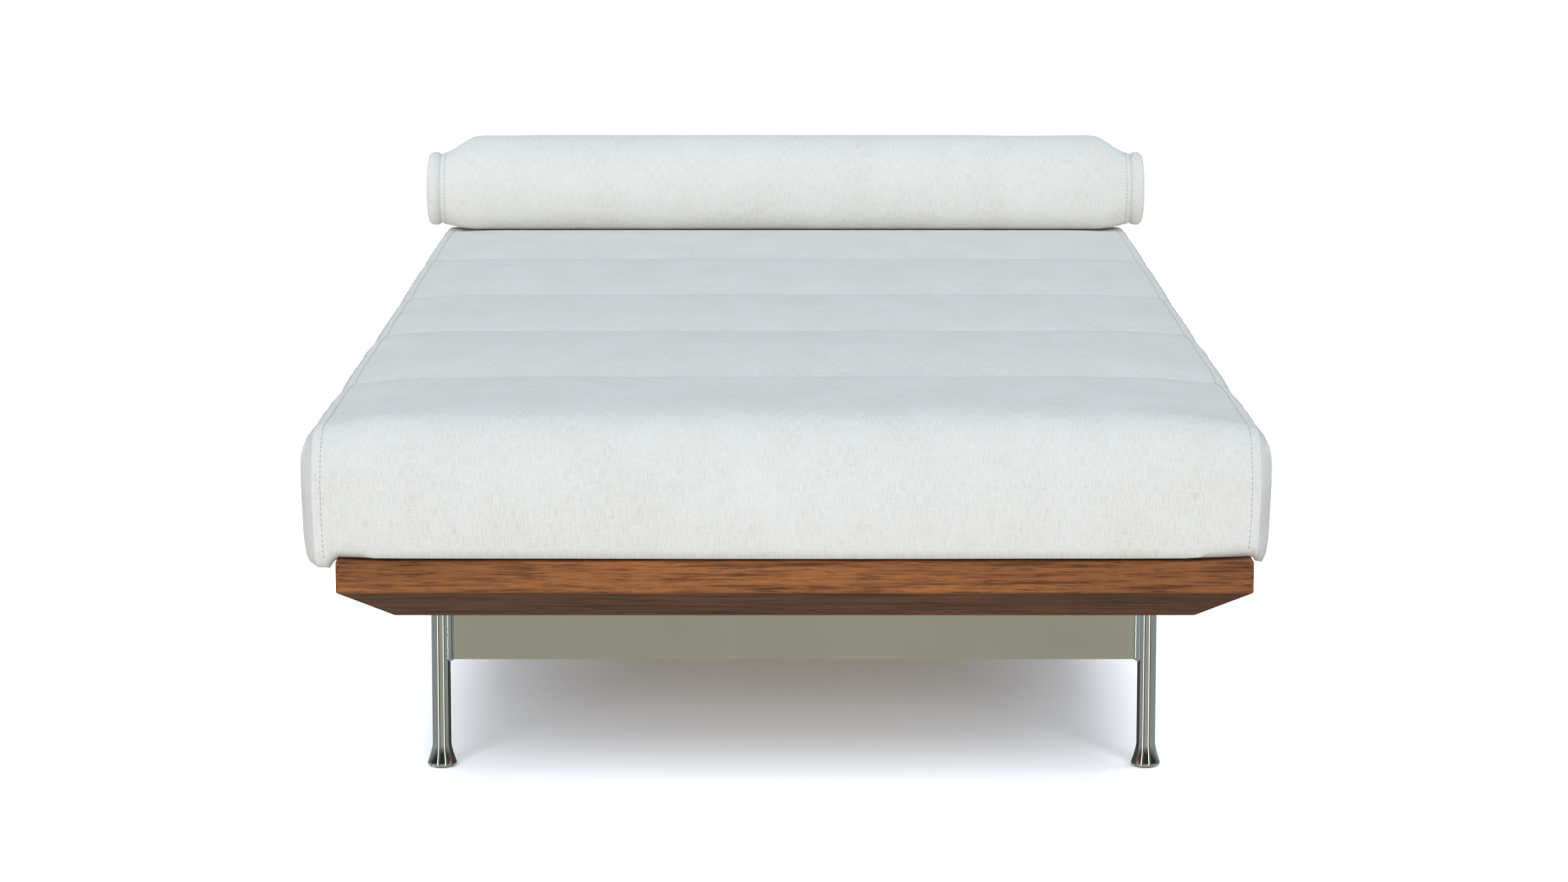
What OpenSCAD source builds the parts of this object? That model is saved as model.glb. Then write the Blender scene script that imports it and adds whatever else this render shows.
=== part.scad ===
// Daybed: mitred hardwood platform on two chromed leg frames, with a loose
// channel-sewn mattress and a loose bolster.
// +Z is up, the floor is z = 0, the foot end faces -Y and the head end +Y.
// The origin is on the floor, under the middle of the platform.

/* [Platform] */
// Length of the platform from foot end to head end
platform_l = 1880; // [1500:5:2300]
// Width of the platform across its upright band
platform_w = 855; // [700:5:1030]
// Height of the platform's underside above the floor
underside_h = 209; // [165:1:260]
// Height of the upright band round the platform
band_h = 30; // [24:1:40]
// Height of the bevel under the band
bevel_drop = 31; // [24:1:40]
// How far the bevel runs in under the platform
bevel_in = 51; // [30:1:60]
// Width of each rail, from its outer face to its inner face
rail_w = 80; // [70:1:100]
// Small round along the long edges of the rails
edge_r = 2.5; // [1:0.5:4]
// Round on the upright corners of the band
corner_r = 5; // [2:0.5:8]
// Glue line at the mitres and at every butted wood joint
glue_gap = 0.1; // [0.05:0.05:0.3]

/* [Deck] */
// Number of slat spaces from the middle bearer to each leg frame's bearer
slats_inner = 4; // [2:1:5]
// Number of slats beyond each leg frame's bearer
slats_outer = 1; // [1:1:2]
// Width of one slat
slat_w = 90; // [60:1:100]
// Thickness of one slat, and depth of the rebate it lies in
slat_t = 18; // [14:1:22]
// Width of the ledge that carries the slat ends
ledge_w = 20; // [15:1:25]
// Clearance between a slat end and the rebate
slat_gap = 1; // [0.5:0.5:3]

/* [Bearers and corners] */
// Width of one cross bearer
bearer_w = 76; // [70:1:100]
// Radius of the dowels in the bearer ends
dowel_r = 4; // [3:0.5:5]
// Length of one dowel
dowel_l = 48; // [40:1:60]
// Radial clearance for glue round a dowel
dowel_gap = 0.05; // [0.02:0.01:0.2]
// Distance between the two dowels of a bearer end
dowel_pitch = 40; // [30:1:48]
// Distance of a corner block's screws from the rail beside them
block_screw_in = 27; // [20:1:34]
// Length of a corner block along each rail
block_leg = 76; // [60:1:90]
// Height of a corner block
block_h = 36; // [30:1:38]

/* [Wood screws] */
// Shank radius of a wood screw
screw_r = 2; // [1.5:0.25:2.5]
// Head radius of a wood screw
screw_head_r = 4; // [3:0.25:5]
// Head height of a wood screw
screw_head_h = 2.4; // [2:0.1:3]
// How deep a wood screw bites into the rail
screw_bite = 15; // [10:1:20]
// Wood left under the head of a corner block screw
block_clamp = 18; // [12:1:24]

/* [Leg frames] */
// Distance from each end of the platform to the middle of its leg frame
leg_setback = 335; // [200:5:450]
// Distance from the side of the platform to the axis of each leg
leg_inset = 72; // [65:0.5:78]
// Outer radius of the leg tube
tube_r = 9.5; // [8:0.5:12]
// Wall of the leg tube
tube_wall = 1.5; // [1:0.25:2]
// Height of the apron plate's lower edge above the floor
apron_bottom = 110.5; // [80:0.5:140]
// Thickness of the apron plate
apron_t = 5; // [3:0.5:8]
// Fillet where the apron's lower edge meets the tube
apron_fillet = 2.5; // [1:0.5:6]
// Width of the flat mounting bar on top of the leg frame
bar_w = 64; // [56:1:80]
// Thickness of the mounting bar
bar_t = 5; // [4:0.5:8]
// How far the mounting bar reaches past the leg axis
bar_past_leg = 14; // [10:1:18]

/* [Bell feet] */
// Height of the bell from the floor to the end of the tube
bell_h = 25; // [20:1:40]
// Largest radius of the bell
bell_r = 14.8; // [12.5:0.1:22]
// Height of the bell's widest place above the floor
bell_rim_h = 5; // [4:0.5:8]
// Length of the spigot that plugs into the tube
spigot_l = 22; // [15:1:40]
// Radial clearance between the spigot and the tube
spigot_gap = 0.05; // [0.02:0.01:0.2]
// Radius of the nylon glide
glide_r = 9.5; // [8:0.5:11]
// How far the glide stands out under the bell
glide_out = 1.5; // [1:0.5:3]
// Thickness of the glide's disc
glide_t = 3.5; // [2.5:0.5:4]
// Radius of the glide's stem
stem_r = 3; // [2:0.5:4]
// Length of the glide's stem
stem_l = 12; // [8:1:20]

/* [Leg bolts] */
// Shank radius of a leg bolt
bolt_r = 2.95; // [2.5:0.05:4]
// Length of a leg bolt under its head
bolt_l = 25; // [22:1:30]
// Radius of a bolt's round head
bolt_head_r = 5.5; // [5:0.25:7]
// Height of a bolt's head
bolt_head_h = 3.3; // [3:0.1:5]
// Distance of the outer bolts from the inner face of the side rails
bolt_inset = 67.5; // [20:0.5:120]
// Distance of each bolt row from the apron plate's middle
bolt_y = 19; // [14:0.5:24]
// Thickness of a washer
washer_t = 1.6; // [1:0.1:2]
// Radius of a washer
washer_r = 6.5; // [6:0.25:8]
// Radius of a threaded insert
insert_r = 5; // [4.5:0.25:6]
// Length of a threaded insert
insert_l = 15; // [10:1:18]
// Radial clearance of an insert in its hole in the bearer
insert_gap = 0.05; // [0.02:0.01:0.2]
// Radial clearance of a bolt in its insert, washer and bar
bolt_gap = 0.1; // [0.05:0.05:0.5]

/* [Mattress] */
// How far each side of the mattress stands out past the band
mattress_overhang = 25; // [0:0.5:40]
// Thickness of the mattress
mattress_t = 128; // [100:1:160]
// How far the mattress stops short of each end of the platform
mattress_inset = 4; // [4:1:20]
// Radius of the rolled top edge at the foot and head ends
roll_r = 52; // [35:1:70]
// Thickness of the cover fabric with its backing
cover_t = 2; // [1:0.5:4]
// Thickness of a side panel with its backing
side_t = 3; // [2:0.5:5]
// Thickness of the fibre wrap over the foam
fibre_t = 10; // [5:1:20]
// Clearance between soft pieces and what they rest on
rest_gap = 0.3; // [0.1:0.1:1]

/* [Bolster] */
// Radius of the bolster's round body
bolster_r = 67; // [55:1:85]
// How far the bolster is flattened where it lies on the mattress
bolster_sink = 14.6; // [5:0.1:20]
// Radius of the bolster's end caps
cap_r = 47; // [40:1:52]
// How far the seam of each end cap lies outside the mattress
bolster_past = 0.5; // [0:0.5:30]
// Depth of an end cap past its seam
cap_depth = 17; // [12:1:30]
// Round at the rim of an end cap
cap_round = 8; // [4:1:12]
// Length of the shoulder that narrows the body to the end cap
shoulder_l = 50; // [30:1:70]
// Distance from the back of the bolster to the head end of the platform
bolster_end_gap = 8; // [4:1:80]

/* [Zips] */
// Distance from each side of the mattress to the end of its zip
mattress_zip_margin = 102.5; // [20:0.5:200]
// Height of the mattress zip above the underside of the mattress
mattress_zip_h = 34; // [32:1:50]
// Distance from each shoulder of the bolster to the end of its zip
bolster_zip_margin = 83; // [5:1:150]
// How far below the horizontal the bolster's zip lies, at its back
bolster_zip_angle = 28; // [15:1:35]
// Width of a zip's two tapes together
tape_w = 16; // [12:1:24]
// Thickness of a zip's tape
tape_t = 0.8; // [0.5:0.1:1]
// Width of the closed row of zip teeth
teeth_w = 4; // [3:0.5:6]
// How far the teeth stand out of the tape
teeth_out = 0.7; // [0.5:0.1:1]
// Length of a slider's body along the zip
slider_l = 11; // [8:1:14]
// Width of a slider's body across the zip
slider_w = 8; // [7:0.5:10]
// Thickness of a slider's body
slider_t = 1.4; // [1:0.1:2]
// Running clearance between a slider and the teeth
slider_gap = 0.3; // [0.2:0.1:0.5]
// Length of a slider's pull tab
pull_l = 24; // [16:1:26]

/* [Hidden] */
$fn = 96;
arc_steps = 6;
roll_steps = 12;
through = 1;

deck_z = underside_h + bevel_drop + band_h;
ledge_z = deck_z - slat_t;
inner_x = platform_w / 2 - rail_w;
inner_y = platform_l / 2 - rail_w;
screw_gap = 0.1;
pilot_r = screw_r + screw_gap;

slat_l = platform_w - 2 * (rail_w - ledge_w) - 2 * slat_gap;
slat_room = platform_l - 2 * (rail_w - ledge_w);
slat_count = 1 + 2 * (slats_inner + slats_outer);
slat_screw_x = platform_w / 2 - rail_w + ledge_w / 2;
slat_screw_l = slat_t + screw_bite;

leg_x = platform_w / 2 - leg_inset;
leg_y = platform_l / 2 - leg_setback;
slat_pitch = leg_y / slats_inner;
outer_room = slat_room / 2 - leg_y - slat_w / 2;
outer_pitch = slat_w + (outer_room - slats_outer * slat_w) / (slats_outer + 1);
bearer_ys = [-leg_y, 0, leg_y];
bearer_l = 2 * (inner_x - glue_gap);
bearer_h = ledge_z - underside_h;
dowel_z = underside_h + bearer_h / 2;
dowel_end_room = 1;

block_z = underside_h + (bearer_h - block_h) / 2;
block_tip = 14;
block_screw_l = block_clamp + screw_bite + glue_gap;
block_screw_zs = [block_z + block_h / 3, block_z + block_h * 2 / 3];

tube_top = underside_h - bar_t;
tube_bore_r = tube_r - tube_wall;
bar_l = 2 * (leg_x + bar_past_leg);
bolt_x = inner_x - bolt_inset;
bolt_spots = [for (x = [-bolt_x, 0, bolt_x], y = [-bolt_y, bolt_y]) [x, y]];
insert_hole_l = bolt_l;
washer_z = tube_top - washer_t;

mattress_z = deck_z + rest_gap;
mattress_top = mattress_z + mattress_t;
mattress_l = platform_l - 2 * mattress_inset;
mattress_w = platform_w + 2 * mattress_overhang;
panel_w = mattress_w - 2 * side_t;
mattress_zip_l = mattress_w - 2 * mattress_zip_margin;

bolster_bottom = mattress_top + rest_gap;
bolster_z = bolster_bottom + bolster_r - bolster_sink;
bolster_y = platform_l / 2 - bolster_end_gap - bolster_r;
cap_seam_x = mattress_w / 2 + bolster_past;
bolster_half = cap_seam_x + cap_depth;
bolster_zip_l = 2 * (cap_seam_x - shoulder_l - bolster_zip_margin);

walnut = "saddlebrown";
pine = "burlywood";
chrome = "silver";
steel = "slategray";
linen = "whitesmoke";

// ---- helpers -------------------------------------------------------------

function unit(v) = v / norm(v);

// Points of an arc of radius r that rounds the corner b between a and c
function rounded(a, b, c, r, steps = arc_steps) =
    let (
        u = unit(a - b),
        v = unit(c - b),
        half = acos(u * v) / 2,
        centre = b + unit(u + v) * r / sin(half),
        p = b + u * r / tan(half) - centre,
        q = b + v * r / tan(half) - centre,
        start = atan2(p.y, p.x),
        turn = (atan2(q.y, q.x) - start + 540) % 360 - 180
    )
    [for (i = [0 : steps]) centre + r * [cos(start + turn * i / steps), sin(start + turn * i / steps)]];

// Draws a (y, z) outline and extrudes it along X, about the middle
module along_x(l) {
    rotate([90, 0, 90]) linear_extrude(l, center = true) children();
}

// Draws an (x, z) outline and extrudes it along Y, about the middle
module along_y(l) {
    rotate([90, 0, 0]) linear_extrude(l, center = true) children();
}

// Cylinder that starts at the origin and runs along +X
module rod_x(r, l) {
    rotate([0, 90, 0]) cylinder(r = r, h = l);
}

// Cylinder that starts at the origin and runs along +Y
module rod_y(r, l) {
    rotate([-90, 0, 0]) cylinder(r = r, h = l);
}

// ---- platform rails ------------------------------------------------------

// Rail section: u runs in from the outer face, z is the height above the floor
function rail_outline() =
    let (
        band_top = [0, deck_z],
        band_foot = [0, underside_h + bevel_drop],
        bevel_foot = [bevel_in, underside_h],
        rebate_x = rail_w - ledge_w
    )
    concat(
        rounded([rebate_x, deck_z], band_top, band_foot, edge_r),
        rounded(band_top, band_foot, bevel_foot, edge_r),
        rounded(band_foot, bevel_foot, [rail_w, underside_h], edge_r),
        [[rail_w, underside_h], [rail_w, ledge_z], [rebate_x, ledge_z], [rebate_x, deck_z]]
    );

// Upright block with rounded corners that holds the whole platform
module rounded_plan() {
    tall = deck_z + through;
    translate([-platform_w / 2, -platform_l / 2 + corner_r, 0])
        cube([platform_w, platform_l - 2 * corner_r, tall]);
    translate([-platform_w / 2 + corner_r, -platform_l / 2, 0])
        cube([platform_w - 2 * corner_r, platform_l, tall]);
    for (sx = [-1, 1], sy = [-1, 1])
        translate([sx * (platform_w / 2 - corner_r), sy * (platform_l / 2 - corner_r), 0])
            cylinder(r = corner_r, h = tall);
}

// Wedge that mitres a rail lying along -X (side) or -Y (end)
module mitre_plan(half_w, half_l, gap) {
    out = 5;
    deep = rail_w + out;
    linear_extrude(deck_z + through)
        polygon([
            [-half_w - out, -half_l - out + gap],
            [-half_w + deep, -half_l + deep + gap],
            [-half_w + deep, half_l - deep - gap],
            [-half_w - out, half_l + out - gap]
        ]);
}

// Pilot holes that the left rail needs; the right rail mirrors them
module side_rail_holes() {
    for (i = [1 : slat_count])
        translate([-slat_screw_x, slat_y(i), deck_z - slat_screw_l - screw_gap])
            cylinder(r = pilot_r, h = slat_screw_l);
    for (y = bearer_ys, dy = [-0.5, 0.5])
        translate([-inner_x - dowel_l / 2 - dowel_end_room, y + dy * dowel_pitch, dowel_z])
            rod_x(dowel_r + dowel_gap, dowel_l);
    for (sy = [-1, 1])
        translate([-inner_x - screw_bite - screw_gap, sy * (inner_y - block_screw_in), block_screw_zs[0]])
            rod_x(pilot_r, screw_bite + through);
}

module side_rail(side) {
    color(walnut) mirror([side > 0 ? 1 : 0, 0, 0]) difference() {
        intersection() {
            translate([-platform_w / 2, 0, 0]) along_y(platform_l) polygon(rail_outline());
            mitre_plan(platform_w / 2, platform_l / 2, glue_gap);
            rounded_plan();
        }
        side_rail_holes();
    }
}

module end_rail(end) {
    color(walnut) mirror([0, end > 0 ? 1 : 0, 0]) difference() {
        intersection() {
            translate([0, -platform_l / 2, 0]) along_x(platform_w) polygon(rail_outline());
            mirror([1, -1, 0]) mitre_plan(platform_l / 2, platform_w / 2, 0);
            rounded_plan();
        }
        for (sx = [-1, 1])
            translate([sx * (inner_x - block_screw_in), -inner_y - screw_bite - screw_gap, block_screw_zs[1]])
                rod_y(pilot_r, screw_bite + through);
    }
}

module foot_rail() { end_rail(-1); }
module head_rail() { end_rail(1); }
module left_side_rail() { side_rail(-1); }
module right_side_rail() { side_rail(1); }

// ---- bearers, dowels and corner blocks -----------------------------------

// Cross bearer between the side rails; bolted says if a leg frame hangs on it
module bearer(y, bolted) {
    color(pine) translate([0, y, 0]) difference() {
        translate([-bearer_l / 2, -bearer_w / 2, underside_h]) cube([bearer_l, bearer_w, bearer_h]);
        for (sx = [-1, 1], dy = [-0.5, 0.5])
            translate([sx * inner_x - (dowel_l / 2 + dowel_end_room), dy * dowel_pitch, dowel_z])
                rod_x(dowel_r + dowel_gap, dowel_l + 2 * dowel_end_room);
        if (bolted)
            for (p = bolt_spots)
                translate([p.x, p.y, underside_h - through])
                    cylinder(r = insert_r + insert_gap, h = insert_hole_l + through);
    }
}

module front_bearer() { bearer(-leg_y, true); }
module middle_bearer() { bearer(0, false); }
module rear_bearer() { bearer(leg_y, true); }

module bearer_dowels() {
    color(pine)
        for (y = bearer_ys, sx = [-1, 1], dy = [-0.5, 0.5])
            translate([sx * inner_x - dowel_l / 2, y + dy * dowel_pitch, dowel_z])
                rod_x(dowel_r, dowel_l);
}

// Glued and screwed block in the inner corner at +X +Y
module corner_block_shape() {
    a = block_leg;
    t = block_tip;
    difference() {
        translate([inner_x - glue_gap, inner_y - glue_gap, block_z])
            linear_extrude(block_h)
                polygon([[0, 0], [-a, 0], [-a, -t], [-t, -a], [0, -a]]);
        translate([inner_x, inner_y - block_screw_in, block_screw_zs[0]]) rotate([0, 0, 180]) {
            rod_x(pilot_r, a);
            translate([block_clamp, 0, 0]) rod_x(screw_head_r + screw_gap, a);
        }
        translate([inner_x - block_screw_in, inner_y, block_screw_zs[1]]) rotate([0, 0, 180]) {
            rod_y(pilot_r, a);
            translate([0, block_clamp, 0]) rod_y(screw_head_r + screw_gap, a);
        }
    }
}

// The block, or any shape made for the +X +Y corner, moved to another corner
module at_corner(sx, sy) {
    mirror([sx < 0 ? 1 : 0, 0, 0]) mirror([0, sy < 0 ? 1 : 0, 0]) children();
}

module corner_block(sx, sy) {
    color(pine) at_corner(sx, sy) corner_block_shape();
}

module foot_left_corner_block() { corner_block(-1, -1); }
module foot_right_corner_block() { corner_block(1, -1); }
module head_left_corner_block() { corner_block(-1, 1); }
module head_right_corner_block() { corner_block(1, 1); }

// Wood screw whose head stands at the origin and whose shank runs up +Z
module wood_screw(l) {
    translate([0, 0, -screw_head_h]) cylinder(r = screw_head_r, h = screw_head_h);
    cylinder(r = screw_r, h = l);
}

module corner_block_screws() {
    color(steel)
        for (sx = [-1, 1], sy = [-1, 1])
            at_corner(sx, sy) {
                translate([inner_x - block_clamp, inner_y - block_screw_in, block_screw_zs[0]])
                    rotate([0, 90, 0]) wood_screw(block_screw_l - glue_gap);
                translate([inner_x - block_screw_in, inner_y - block_clamp, block_screw_zs[1]])
                    rotate([-90, 0, 0]) wood_screw(block_screw_l - glue_gap);
            }
}

// ---- slats ---------------------------------------------------------------

// Place of slat i, counted from the foot end; one slat lies over each bearer
function slat_y(i) =
    let (k = i - 1 - slats_inner - slats_outer, past = max(0, abs(k) - slats_inner))
    sign(k) * ((abs(k) - past) * slat_pitch + past * outer_pitch);

module slat(i) {
    color(pine) translate([0, slat_y(i), ledge_z]) difference() {
        translate([-slat_l / 2, -slat_w / 2, 0]) cube([slat_l, slat_w, slat_t]);
        for (sx = [-1, 1])
            translate([sx * slat_screw_x, 0, 0]) {
                translate([0, 0, -through]) cylinder(r = pilot_r, h = slat_t + 2 * through);
                translate([0, 0, slat_t - screw_head_h - screw_gap])
                    cylinder(r = screw_head_r + screw_gap, h = screw_head_h + through);
            }
    }
}

module slat_screws() {
    color(steel)
        for (i = [1 : slat_count], sx = [-1, 1])
            translate([sx * slat_screw_x, slat_y(i), deck_z - screw_head_h])
                rotate([180, 0, 0]) wood_screw(slat_screw_l - screw_head_h);
}

// ---- leg frames ----------------------------------------------------------

function frame_y(end) = end * leg_y;

module mounting_bar(end) {
    color(chrome) translate([0, frame_y(end), tube_top]) difference() {
        translate([-bar_l / 2, -bar_w / 2, 0]) cube([bar_l, bar_w, bar_t]);
        for (p = bolt_spots)
            translate([p.x, p.y, -through]) cylinder(r = bolt_r + bolt_gap, h = bar_t + 2 * through);
    }
}

// Plate between the legs, coped to the tubes and welded under the bar
module apron_plate(end) {
    tube_face = leg_x - tube_r;
    color(chrome) translate([0, frame_y(end), 0]) difference() {
        union() {
            translate([-leg_x, -apron_t / 2, apron_bottom])
                cube([2 * leg_x, apron_t, tube_top - apron_bottom]);
            for (sx = [-1, 1])
                difference() {
                    translate([sx * tube_face - apron_fillet, -apron_t / 2, apron_bottom - apron_fillet])
                        cube([2 * apron_fillet, apron_t, 2 * apron_fillet]);
                    translate([sx * (tube_face - apron_fillet), -apron_t, apron_bottom - apron_fillet])
                        rod_y(apron_fillet, 2 * apron_t);
                }
        }
        for (sx = [-1, 1])
            translate([sx * leg_x, 0, 0]) cylinder(r = tube_r, h = underside_h);
    }
}

module leg_tube(end, side) {
    color(chrome) translate([side * leg_x, frame_y(end), bell_h]) difference() {
        cylinder(r = tube_r, h = tube_top - bell_h);
        translate([0, 0, -through]) cylinder(r = tube_bore_r, h = tube_top - bell_h + 2 * through);
    }
}

// Half section of the bell foot as (radius, height) points
function bell_outline() =
    let (
        flare = bell_h - bell_rim_h,
        lip = bell_rim_h - glide_out,
        lip_in = 3,
        rim = bell_r - lip_in
    )
    concat(
        [for (i = [0 : roll_steps])
            [tube_r + (bell_r - tube_r) * pow(i / roll_steps, 1.5), bell_h - flare * i / roll_steps]],
        [for (i = [1 : arc_steps])
            [rim + lip_in * cos(90 * i / arc_steps), bell_rim_h - lip * sin(90 * i / arc_steps)]]
    );

// Turned foot: flared bell below, spigot inside the tube, recess for the glide
module bell_foot(end, side) {
    spigot_r = tube_bore_r - spigot_gap;
    recess_top = glide_t + spigot_gap;
    color(chrome) translate([side * leg_x, frame_y(end), 0])
        rotate_extrude()
            polygon(concat(
                [[stem_r + spigot_gap, bell_h + spigot_l], [spigot_r, bell_h + spigot_l], [spigot_r, bell_h]],
                bell_outline(),
                [[glide_r + spigot_gap, glide_out], [glide_r + spigot_gap, recess_top]],
                [[stem_r + spigot_gap, recess_top]]
            ));
}

module glide(end, side) {
    ease = 0.8;
    color("dimgray") translate([side * leg_x, frame_y(end), 0]) {
        rotate_extrude()
            polygon([[0, 0], [glide_r - ease, 0], [glide_r, ease], [glide_r, glide_t], [stem_r, glide_t],
                [stem_r, glide_t + stem_l], [0, glide_t + stem_l]]);
    }
}

// Runs its children once for each leg bolt of both frames
module at_leg_bolts() {
    for (end = [-1, 1], p = bolt_spots)
        translate([p.x, frame_y(end) + p.y, 0]) children();
}

// Round-headed bolt with a hexagon socket, pushed up from below
module leg_bolts() {
    socket_r = 2.3;
    socket_h = 2;
    color(steel) at_leg_bolts() translate([0, 0, washer_z]) difference() {
        union() {
            translate([0, 0, -bolt_head_h]) cylinder(r = bolt_head_r, h = bolt_head_h);
            cylinder(r = bolt_r, h = bolt_l);
        }
        translate([0, 0, -bolt_head_h - through]) cylinder(r = socket_r, h = socket_h + through, $fn = 6);
    }
}

module leg_bolt_washers() {
    color(steel) at_leg_bolts() translate([0, 0, washer_z]) difference() {
        cylinder(r = washer_r, h = washer_t);
        translate([0, 0, -through]) cylinder(r = bolt_r + bolt_gap, h = washer_t + 2 * through);
    }
}

module leg_bolt_inserts() {
    color("goldenrod") at_leg_bolts() translate([0, 0, underside_h]) difference() {
        cylinder(r = insert_r, h = insert_l);
        translate([0, 0, -through]) cylinder(r = bolt_r + bolt_gap, h = insert_l + 2 * through);
    }
}

// ---- mattress ------------------------------------------------------------

// (y, z) outline with a rolled edge at both ends; it starts at height z
// and lies inset inside the mattress at its ends and its top
function slab_outline(inset, z) =
    let (
        y = mattress_l / 2 - inset,
        top = mattress_top - inset,
        r = roll_r - inset
    )
    concat(
        [[-y, z]],
        rounded([-y, z], [-y, top], [y, top], r, roll_steps),
        rounded([-y, top], [y, top], [y, z], r, roll_steps),
        [[y, z]]
    );

// Cover layer of thickness t that starts inset inside the mattress
module slab_skin(inset, t, z) {
    difference() {
        polygon(slab_outline(inset, z));
        polygon(slab_outline(inset + t, z - through));
    }
}

module mattress_foam_core() {
    color("khaki") along_x(panel_w)
        polygon(slab_outline(cover_t + fibre_t, mattress_z + cover_t));
}

module mattress_fibre_wrap() {
    color("ivory") along_x(panel_w) slab_skin(cover_t, fibre_t, mattress_z + cover_t);
}

module mattress_top_panel() {
    color(linen) along_x(panel_w) slab_skin(0, cover_t, mattress_z);
}

module mattress_base_panel() {
    base_l = mattress_l - 2 * cover_t;
    color("lightgray") translate([-panel_w / 2, -base_l / 2, mattress_z]) cube([panel_w, base_l, cover_t]);
}

module mattress_side_panel(side) {
    color(linen) translate([side * (panel_w + side_t) / 2, 0, 0])
        along_x(side_t) polygon(slab_outline(0, mattress_z));
}

module mattress_left_side_panel() { mattress_side_panel(-1); }
module mattress_right_side_panel() { mattress_side_panel(1); }

// ---- zips ----------------------------------------------------------------

// Zip tape and closed teeth along X; its back lies on the y = 0 plane
module zip_band(l) {
    translate([-l / 2, 0, -tape_w / 2]) cube([l, tape_t, tape_w]);
    translate([-l / 2, 0, -teeth_w / 2]) cube([l, tape_t + teeth_out, teeth_w]);
}

// Slider that rides outside the teeth, with its pull tab hanging down
module zip_slider() {
    tab_w = 5;
    tab_t = 0.6;
    face = tape_t + teeth_out + slider_gap;
    translate([-slider_l / 2, face, -slider_w / 2]) cube([slider_l, slider_t - tab_t, slider_w]);
    translate([-tab_w / 2, face + slider_t - tab_t, -pull_l]) difference() {
        cube([tab_w, tab_t, pull_l + slider_w / 2]);
        translate([tab_w / 2, -through, tab_w / 2]) rod_y(tab_w / 4, tab_t + 2 * through);
    }
}

module on_mattress_back() {
    translate([0, mattress_l / 2, mattress_z + mattress_zip_h]) children();
}

module mattress_zip() {
    color("gainsboro") on_mattress_back() zip_band(mattress_zip_l);
}

module mattress_zip_slider() {
    color(chrome) on_mattress_back() translate([(mattress_zip_l - slider_l) / 2, 0, 0]) zip_slider();
}

// ---- bolster -------------------------------------------------------------

// Radius of the bolster at a distance x from its middle, up to the cap seam
function shoulder_r(x) =
    let (t = max(0, min(1, (x - cap_seam_x + shoulder_l) / shoulder_l)))
    bolster_r + (cap_r - bolster_r) * t * t * (3 - 2 * t);

// One end of the bolster's (radius, x) outline, from the shoulder to the rim
function end_outline(inset) =
    concat(
        [for (i = [0 : roll_steps])
            let (x = cap_seam_x - shoulder_l + shoulder_l * i / roll_steps)
            [shoulder_r(x) - inset, x]],
        rounded([cap_r - inset, cap_seam_x], [cap_r - inset, bolster_half - inset],
            [0, bolster_half - inset], cap_round)
    );

function mirrored(points) =
    [for (i = [len(points) - 1 : -1 : 0]) [points[i].x, -points[i].y]];

// Bolster shape between two distances along X, inset inside its cover
module bolster_shape(inset, from, to) {
    outline = end_outline(inset);
    intersection() {
        translate([0, bolster_y, bolster_z]) rotate([0, 90, 0])
            rotate_extrude()
                polygon(concat([[0, -bolster_half + inset]], mirrored(outline), outline,
                    [[0, bolster_half - inset]]));
        translate([from, bolster_y - 2 * bolster_r, bolster_bottom + inset])
            cube([to - from, 4 * bolster_r, 3 * bolster_r]);
    }
}

module bolster_foam_core() {
    color("khaki") bolster_shape(cover_t, -bolster_half, bolster_half);
}

module bolster_cover() {
    color(linen) difference() {
        bolster_shape(0, -cap_seam_x, cap_seam_x);
        bolster_shape(cover_t, -bolster_half, bolster_half);
    }
}

module bolster_end_cap(side) {
    color(linen) mirror([side < 0 ? 1 : 0, 0, 0]) difference() {
        bolster_shape(0, cap_seam_x, bolster_half + through);
        bolster_shape(cover_t, -bolster_half, bolster_half);
    }
}

module bolster_left_end_cap() { bolster_end_cap(-1); }
module bolster_right_end_cap() { bolster_end_cap(1); }

// Places a zip on the back of the bolster, a little below the horizontal
module on_bolster_back() {
    translate([0, bolster_y, bolster_z]) rotate([-bolster_zip_angle, 0, 0])
        translate([0, bolster_r, 0]) children();
}

module bolster_zip() {
    color("gainsboro") on_bolster_back() zip_band(bolster_zip_l);
}

module bolster_zip_slider() {
    color(chrome) on_bolster_back() translate([(bolster_zip_l - slider_l) / 2, 0, 0]) zip_slider();
}

// ---- nodes ---------------------------------------------------------------

foot_rail();
head_rail();
left_side_rail();
right_side_rail();
front_bearer();
middle_bearer();
rear_bearer();
bearer_dowels();
foot_left_corner_block();
foot_right_corner_block();
head_left_corner_block();
head_right_corner_block();
corner_block_screws();
for (i = [1 : slat_count])
    slat(i);
slat_screws();
mounting_bar(-1);  // front_mounting_bar
mounting_bar(1);  // rear_mounting_bar
apron_plate(-1);  // front_apron_plate
apron_plate(1);  // rear_apron_plate
for (f = [["front", -1], ["rear", 1]], s = [["left", -1], ["right", 1]]) {
    leg_tube(f[1], s[1]);
    bell_foot(f[1], s[1]);
    glide(f[1], s[1]);
}
leg_bolts();
leg_bolt_washers();
leg_bolt_inserts();
mattress_foam_core();
mattress_fibre_wrap();
mattress_top_panel();
mattress_base_panel();
mattress_left_side_panel();
mattress_right_side_panel();
mattress_zip();
mattress_zip_slider();
bolster_foam_core();
bolster_cover();
bolster_left_end_cap();
bolster_right_end_cap();
bolster_zip();
bolster_zip_slider();
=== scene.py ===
"""The looks of the daybed: covers, stitching, welds, wood, steel, studio light and camera."""

import math

import bpy
import numpy as np
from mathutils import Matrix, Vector, noise


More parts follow.
